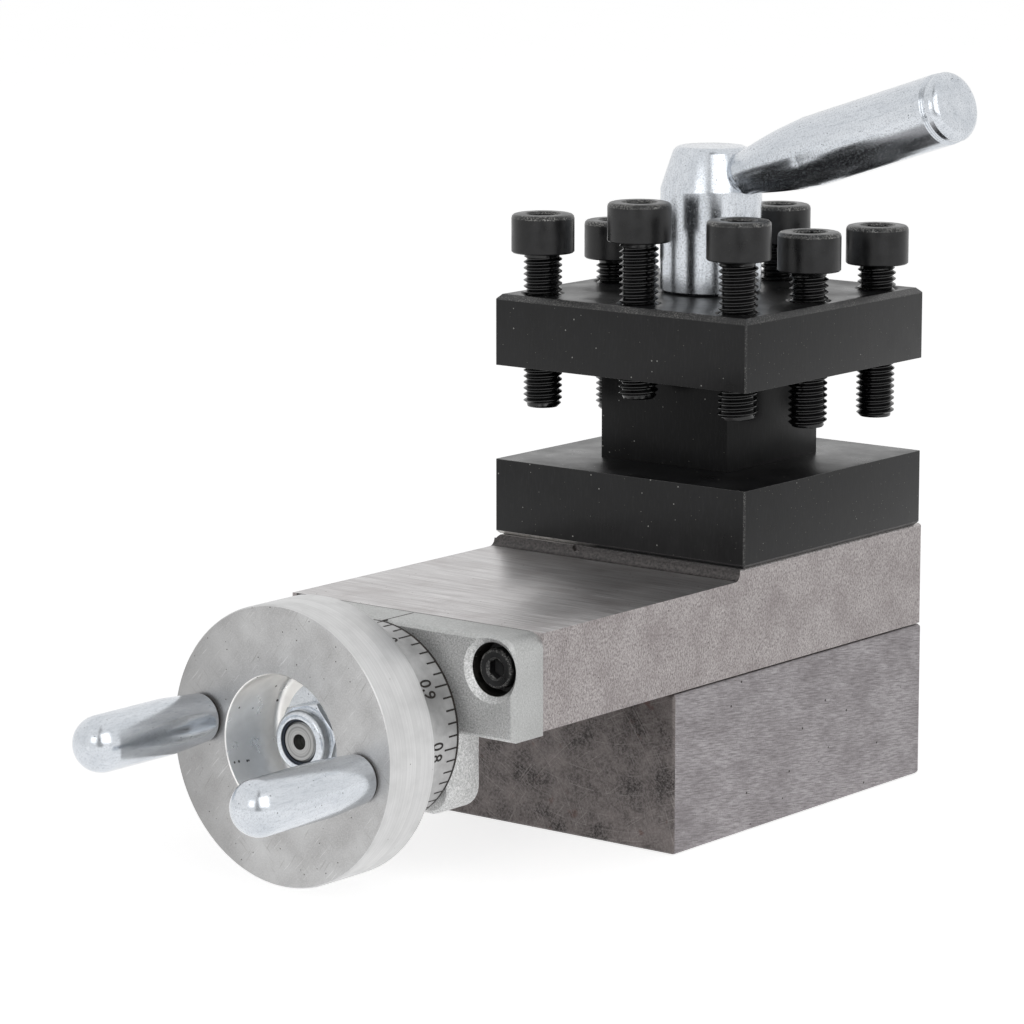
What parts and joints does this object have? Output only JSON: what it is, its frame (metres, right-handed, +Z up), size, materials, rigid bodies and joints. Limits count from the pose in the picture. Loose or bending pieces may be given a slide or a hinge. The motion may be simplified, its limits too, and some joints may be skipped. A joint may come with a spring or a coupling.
{
  "type": "lathe tool rest",
  "caption": "Small lathe compound slide: dovetail base, screw-fed top slide with handwheel and dial, and a four-way tool post with clamp lever.",
  "frame": {"origin": "centre of the base's bolt line on its underside, on the tool post's axis", "axes": "+X right across the slide, +Y along the feed away from the handwheel, +Z up out of the base"},
  "size_m": [0.1036, 0.2022, 0.1529],
  "materials": {
    "ground_iron": "surface-ground iron, lightly oiled, with faint brown mottling",
    "black_oxide": "black oxide over ground steel, satin",
    "black_screw": "black oxide, satin, oiled",
    "bright_zinc": "bright zinc plate, slightly blue and cloudy",
    "turned_alloy": "turned aluminium with fine tool marks and small pits",
    "dial_alloy": "satin turned aluminium, marks filled black",
    "blasted_alloy": "bead-blasted aluminium casting",
    "turned_steel": "turned steel",
    "gib_steel": "ground steel strip",
    "bronze": "machined bronze",
    "nylon": "dark blue nylon"
  },
  "bodies": {
    "base": {"base_block": "ground_iron", "feed_nut": "bronze", "nut_screw": "black_screw"},
    "slide": {"slide_block": "ground_iron", "gib_strip": "gib_steel", "gib_screw_1": "black_screw", "gib_screw_2": "black_screw", "gib_screw_3": "black_screw", "gib_locknut_1": "black_screw", "gib_locknut_2": "black_screw", "gib_locknut_3": "black_screw", "end_bracket": "blasted_alloy", "bracket_screw_left": "black_screw", "bracket_screw_right": "black_screw", "bracket_bush": "bronze", "post_stud": "turned_steel"},
    "spindle": {"feed_screw": "turned_steel", "wheel_key": "turned_steel", "handwheel": "turned_alloy", "dial_spring": "gib_steel", "wheel_washer": "bright_zinc", "wheel_nut": "bright_zinc", "nut_insert": "nylon", "handle_left": "bright_zinc", "handle_right": "bright_zinc"},
    "dial": {"dial_ring": "dial_alloy"},
    "turret": {"tool_post": "black_oxide"},
    "clamp": {"clamp_hub": "bright_zinc", "clamp_lever": "bright_zinc"},
    "screw_1": {"tool_screw_1": "black_screw"},
    "screw_2": {"tool_screw_2": "black_screw"},
    "screw_3": {"tool_screw_3": "black_screw"},
    "screw_4": {"tool_screw_4": "black_screw"},
    "screw_5": {"tool_screw_5": "black_screw"},
    "screw_6": {"tool_screw_6": "black_screw"},
    "screw_7": {"tool_screw_7": "black_screw"},
    "screw_8": {"tool_screw_8": "black_screw"}
  },
  "joints": [
    {"name": "slide_feed", "type": "slide", "parent": "base", "child": "slide", "axis": [0, 1, 0], "range_m": [-0.005, 0.04]},
    {"name": "wheel_turn", "type": "hinge", "parent": "slide", "child": "spindle", "pos_m": [0, -0.12, 0.0324], "axis": [0, 1, 0], "range_deg": [-1800, 14400]},
    {"name": "dial_turn", "type": "hinge", "parent": "spindle", "child": "dial", "pos_m": [0, -0.114, 0.0324], "axis": [0, 1, 0], "continuous": true},
    {"name": "post_turn", "type": "hinge", "parent": "slide", "child": "turret", "pos_m": [0, 0, 0.05405], "axis": [0, 0, 1], "continuous": true},
    {"name": "lever_turn", "type": "hinge", "parent": "slide", "child": "clamp", "pos_m": [0, 0, 0.10415], "axis": [0, 0, 1], "range_deg": [-20, 340]},
    {"name": "screw_1_run", "type": "slide", "parent": "turret", "child": "screw_1", "axis": [0, 0, 1], "range_m": [-0.0083, 0.0045]},
    {"name": "screw_2_run", "type": "slide", "parent": "turret", "child": "screw_2", "axis": [0, 0, 1], "range_m": [-0.0124, 0.0004]},
    {"name": "screw_3_run", "type": "slide", "parent": "turret", "child": "screw_3", "axis": [0, 0, 1], "range_m": [-0.0105, 0.0023]},
    {"name": "screw_4_run", "type": "slide", "parent": "turret", "child": "screw_4", "axis": [0, 0, 1], "range_m": [-0.0059, 0.0069]},
    {"name": "screw_5_run", "type": "slide", "parent": "turret", "child": "screw_5", "axis": [0, 0, 1], "range_m": [-0.005, 0.0078]},
    {"name": "screw_6_run", "type": "slide", "parent": "turret", "child": "screw_6", "axis": [0, 0, 1], "range_m": [-0.0077, 0.0051]},
    {"name": "screw_7_run", "type": "slide", "parent": "turret", "child": "screw_7", "axis": [0, 0, 1], "range_m": [-0.0065, 0.0063]},
    {"name": "screw_8_run", "type": "slide", "parent": "turret", "child": "screw_8", "axis": [0, 0, 1], "range_m": [-0.0048, 0.008]}
  ],
  "couplings": [
    {"joint": "wheel_turn", "follows": "slide_feed", "rad_per_m": 6283.2}
  ]
}
